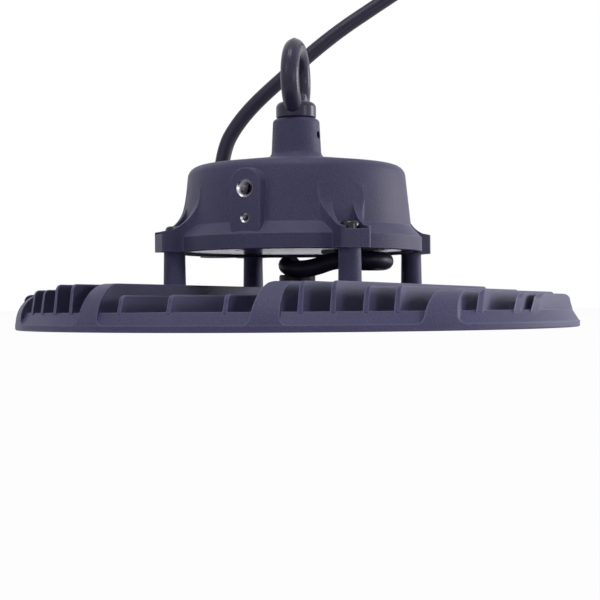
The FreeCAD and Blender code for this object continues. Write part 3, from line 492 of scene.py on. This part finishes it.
class Finish(Network):
    """A material with one Principled shader."""

    def __init__(self, name, **constants):
        self.material = bpy.data.materials.new(name)
        self.material.use_nodes = True
        super().__init__(self.material.node_tree)
        self.end = self.tree.nodes.new("ShaderNodeOutputMaterial")
        self.shader = self.tree.nodes.new("ShaderNodeBsdfPrincipled")
        self.tree.links.new(self.shader.outputs[0], self.end.inputs["Surface"])
        for socket, value in constants.items():
            self.set(socket.replace("_", " "), value)

    def set(self, name, value):
        """Sets or links one socket of the Principled shader."""
        self.connect(self.shader.inputs[name], value)

    def noise(self, size, detail=2.0, roughness=0.5):
        """Noise on Object coordinates, whose patches are about the given size in metres."""
        place = self.node("ShaderNodeTexCoord", out=3)
        return self.node("ShaderNodeTexNoise", Vector=place, Scale=1.0 / size, Detail=detail,
                         Roughness=roughness)

    def blend(self, amount, first, second):
        """Mixes two colours."""
        mix = self.tree.nodes.new("ShaderNodeMix")
        mix.data_type = "RGBA"
        self.connect(mix.inputs[0], amount)
        self.connect(mix.inputs[6], first)
        self.connect(mix.inputs[7], second)
        return Wire(self, mix.outputs[2])

    def bump(self, height, strength, distance):
        """Relief on the surface. The height runs from 0 to 1 and is multiplied by the distance."""
        self.set("Normal", self.node("ShaderNodeBump", Strength=strength, Distance=distance, Height=height))


def rgb(red, green, blue):
    """A colour as a screen shows it, 0 to 255, turned into the linear values that shaders take."""
    linear = [((c / 255 + 0.055) / 1.055) ** 2.4 if c > 10 else c / 255 / 12.92 for c in (red, green, blue)]
    return (*linear, 1.0)


def shade(colour, times):
    """The colour made darker or lighter."""
    return [min(1.0, part * times) for part in colour[:3]] + [1.0]


print("a middle grey is", [round(c, 3) for c in rgb(128, 128, 128)])

# %% [markdown]
# ## Powder coat on the castings
#
# The heat sink and the housing are shot-blasted castings under a thin matte powder coat, a dark grey with a
# touch of violet. Close up it is a fine even grain with a slight softness of colour over larger patches.
# Two noises of different size make the bump: the grain of the powder and the slow waves of the casting's
# skin. Powder draws back from sharp edges, which stay paler, and the paleness is also a painted highlight
# along every edge, the same whatever the light. A Bevel node gives the normal that a rounded edge would
# have, and where it leans away from the face's own normal there is an edge.

# %% Powder coat
POWDER_GRAIN = 0.8 * MM
SKIN_WAVE = 14 * MM
TONE_PATCH = 45 * MM
EDGE_WIDTH = 0.9 * MM


def worn_edge_and_highlight(coat):
    """Paler edges, partly thin powder and partly painted highlight: 0 on a face and up to 0.75 along a sharp
    edge.
    """
    rounded = coat.node("ShaderNodeBevel", {"samples": 6}, EDGE_WIDTH)
    face = coat.node("ShaderNodeNewGeometry", out=1)
    match = coat.node("ShaderNodeVectorMath", {"operation": "DOT_PRODUCT"}, rounded, face, out=1)
    return coat.node("ShaderNodeMapRange", None, match, 0.998, 0.93, 0.0, 0.75)


def powder_coat(name, colour, rough):
    coat = Finish(name, Specular_IOR_Level=0.18)
    fine = coat.noise(POWDER_GRAIN, detail=3.0, roughness=0.6)
    slow = coat.noise(SKIN_WAVE)
    tone = coat.noise(TONE_PATCH, detail=3.0)
    amount = (tone - 0.5) * 0.9 + (fine - 0.5) * 2.2 + 0.5
    grained = coat.blend(amount, shade(colour, 0.8), shade(colour, 1.2))
    # Sharp edges are painted paler: partly thin, worn powder and partly a painted highlight.
    coat.set("Base Color", coat.blend(worn_edge_and_highlight(coat), grained, shade(colour, 2.2)))
    coat.set("Roughness", rough + (fine - 0.5) * 0.22 + (slow - 0.5) * 0.08)
    coat.bump(fine * 0.8 + slow * 0.2, 0.7, 0.35 * MM)
    return coat.material


def dress(material, *names):
    """Gives CAD nodes their finish."""
    for name in names:
        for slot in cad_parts[name].material_slots:
            slot.material = material
    print(material.name, "on", ", ".join(names))


dress(powder_coat("coat_heat_sink", rgb(93, 91, 124), rough=0.50), "heat_sink")
housing_coat = powder_coat("coat_housing", rgb(86, 83, 114), rough=0.48)
dress(housing_coat, "driver_housing")
housing_shell.data.materials.clear()
housing_shell.data.materials.append(housing_coat)

# %% [markdown]
# ## Eye bolt and black screws
#
# The eye bolt is darker than the castings, under a thicker and glossier lacquer that has run a little, so
# its ring shows soft wavy highlights. The pan head screws that hold the housing are blackened and oiled.

# %% Glossy dark metal
LACQUER_WAVE = 5 * MM


def lacquer(name, colour, rough, coat_weight):
    paint = Finish(name, Specular_IOR_Level=0.2, Coat_Weight=coat_weight, Coat_Roughness=0.12)
    wave = paint.noise(LACQUER_WAVE)
    fine = paint.noise(POWDER_GRAIN)
    paint.set("Base Color", paint.blend(wave, shade(colour, 0.85), colour))
    paint.set("Roughness", rough + (fine - 0.5) * 0.12)
    paint.bump(wave * 0.8 + fine * 0.2, 0.25, 0.15 * MM)
    return paint.material


dress(lacquer("lacquer_eye", rgb(64, 59, 84), 0.34, 0.12), "eye_bolt")
dress(lacquer("black_oxide", rgb(20, 18, 26), 0.22, 0.3), "housing_screws", "housing_washers",
      "neck_set_screw")

# %% [markdown]
# ## Cables, glands and seals
#
# The jackets are smooth extruded plastic: almost black, with a soft sheen and faint drawing marks. The
# glands and the connector are moulded nylon, and the seals are a duller rubber.

# %% Rubber and plastic
DRAWING_MARK = 0.6 * MM
JACKET_PATCH = 9 * MM


def jacket(name, colour, rough):
    skin = Finish(name, Specular_IOR_Level=0.22)
    fine = skin.noise(DRAWING_MARK)
    slow = skin.noise(JACKET_PATCH)
    skin.set("Base Color", skin.blend(slow, shade(colour, 0.8), colour))
    skin.set("Roughness", rough + (slow - 0.5) * 0.15)
    skin.bump(fine * 0.5 + slow * 0.5, 0.2, 0.08 * MM)
    return skin.material


supply_cord.data.materials.append(jacket("cord_jacket", rgb(49, 46, 68), 0.42))
output_loop.data.materials.append(jacket("cable_jacket", rgb(46, 40, 60), 0.42))
nylon = jacket("gland_nylon", rgb(38, 35, 46), 0.42)
grip_ribs.data.materials.append(nylon)
dress(nylon, "inlet_gland_body", "inlet_gland_nut", "outlet_gland_body",
      "outlet_gland_nut", "mains_gland_body", "mains_gland_nut", "connector_grip", "connector_ring")
dress(jacket("seal_rubber", rgb(22, 21, 24), 0.7), "lens_gasket", "cover_gasket", "inlet_gland_seal",
      "outlet_gland_seal", "mains_gland_seal")

# %% [markdown]
# ## Cover plate, optics and the pieces inside
#
# The plate under the housing is pale and fairly shiny, so the cable and the gland are mirrored in it. The
# optic is clear polycarbonate over a white board with yellow chips. What is inside the housing gets plain
# finishes.

# %% Plate, optics and inner pieces
def satin(name, colour, rough, metallic=0.0, grain=1.5 * MM, **more):
    plain = Finish(name, Metallic=metallic, **more)
    fine = plain.noise(grain)
    plain.set("Base Color", plain.blend(fine, shade(colour, 0.9), colour))
    plain.set("Roughness", rough + (fine - 0.5) * 0.1)
    plain.bump(fine, 0.2, 0.04 * MM)
    return plain.material


dress(satin("plate_grey", rgb(186, 183, 204), 0.24, metallic=0.8), "housing_cover")
dress(satin("bright_steel", rgb(190, 190, 195), 0.3, metallic=1.0), "cover_screws", "lens_screws",
      "board_screws", "driver_board_screws", "connector_insert")
dress(satin("white_mask", rgb(236, 236, 232), 0.4), "light_board")
dress(satin("phosphor", rgb(236, 208, 96), 0.5), "light_chips")
dress(satin("thermal_sheet", rgb(170, 172, 180), 0.8), "thermal_pad")
dress(satin("green_mask", rgb(30, 92, 52), 0.4), "driver_board")
dress(satin("ferrite", rgb(52, 52, 56), 0.6), "driver_transformer")
dress(satin("copper_wire", rgb(190, 110, 60), 0.35, metallic=1.0), "driver_choke")
dress(satin("can_sleeve", rgb(40, 48, 82), 0.35), "driver_capacitors")
dress(satin("terminal_green", rgb(60, 128, 74), 0.5), "driver_terminals")
optic = satin("clear_optic", rgb(238, 242, 246), 0.12, grain=4 * MM, Transmission_Weight=0.85,
              IOR=1.58)
dress(optic, "lens_plate")
lens_domes.data.materials.append(optic)
bare_metal = satin("bare_aluminium", rgb(196, 194, 200), 0.28, metallic=1.0, grain=0.5 * MM)
for sleeve in sleeves:
    sleeve.data.materials.append(bare_metal)

# %% [markdown]
# ## Floor and light
#
# The lamp stands on a pale floor in a plain studio. A large soft box low on the right gives the bright
# side, weaker ones at the front left and the front right fill the shade, and one above lights the fins. The
# world gives a faint even light, and is white for the camera and for what metal and glass reflect.

# %% Floor
FLOOR_WHITE = 0.96            # how much of the floor is seen as plain white


def paper_white(share):
    """A diffuse white that is partly seen as plain white, so that only the shadow is left on it."""
    paper = Finish("studio_paper", Base_Color=rgb(244, 244, 246), Roughness=0.9, Specular_IOR_Level=0.1)
    glow = paper.node("ShaderNodeEmission", None, (1, 1, 1, 1), 1.0)
    diffuse = Wire(paper, paper.shader.outputs[0])
    mix = paper.node("ShaderNodeMixShader", None, paper.seen(share), diffuse, glow)
    paper.tree.links.new(mix.socket, paper.end.inputs["Surface"])
    return paper.material


deselect()
bpy.ops.mesh.primitive_plane_add(size=8.0, location=(0, 0, 0))
floor = bpy.context.active_object
floor.name = "floor"
floor.data.materials.append(paper_white(FLOOR_WHITE))
print("floor:", [round(side, 2) for side in floor.dimensions])

# %% Light
MIDDLE = Vector((0.0, 0.0, 0.06))
ROOM_LIGHT = 0.04


def toward(right, away, up):
    """A place given from the camera's side: metres to the right, away from the camera and up."""
    return Matrix.Rotation(VIEW_TURN, 4, "Z") @ Vector((right, away, up))


def soft_box(name, place, size, power, colour=(1, 1, 1)):
    """A rectangular light that looks at the middle of the lamp."""
    data = bpy.data.lights.new(name, "AREA")
    data.shape = "RECTANGLE"
    data.size, data.size_y = size
    data.energy = power
    data.color = colour
    lamp = add_object(name, data)
    lamp.location = place
    lamp.rotation_euler = (MIDDLE - place).to_track_quat("-Z", "Y").to_euler()
    print(name, "at", [round(c, 2) for c in place], "gives", power, "W")


soft_box("key_right", toward(1.4, 0.45, 0.2), (0.5, 0.6), 11.0, (1.0, 0.99, 1.0))
soft_box("side_left", toward(-1.0, -1.1, 0.7), (0.5, 0.6), 2.3, (0.97, 0.98, 1.0))
soft_box("top", toward(-0.1, -0.5, 1.6), (0.6, 0.6), 9.5)
soft_box("front", toward(1.2, -0.9, 0.2), (0.4, 0.4), 2.4)

world = bpy.data.worlds.new("studio")
bpy.context.scene.world = world
world.use_nodes = True
sky = Network(world.node_tree)
room = sky.node("ShaderNodeBackground", None, (0.93, 0.93, 1.0, 1), ROOM_LIGHT)
backdrop = sky.node("ShaderNodeBackground", None, (1, 1, 1, 1), 1.0)
seen_room = sky.node("ShaderNodeMixShader", None, sky.seen(1.0), room, backdrop)
sky.tree.links.new(seen_room.socket, sky.tree.nodes.new("ShaderNodeOutputWorld").inputs["Surface"])
bpy.context.scene.view_settings.view_transform = "Standard"
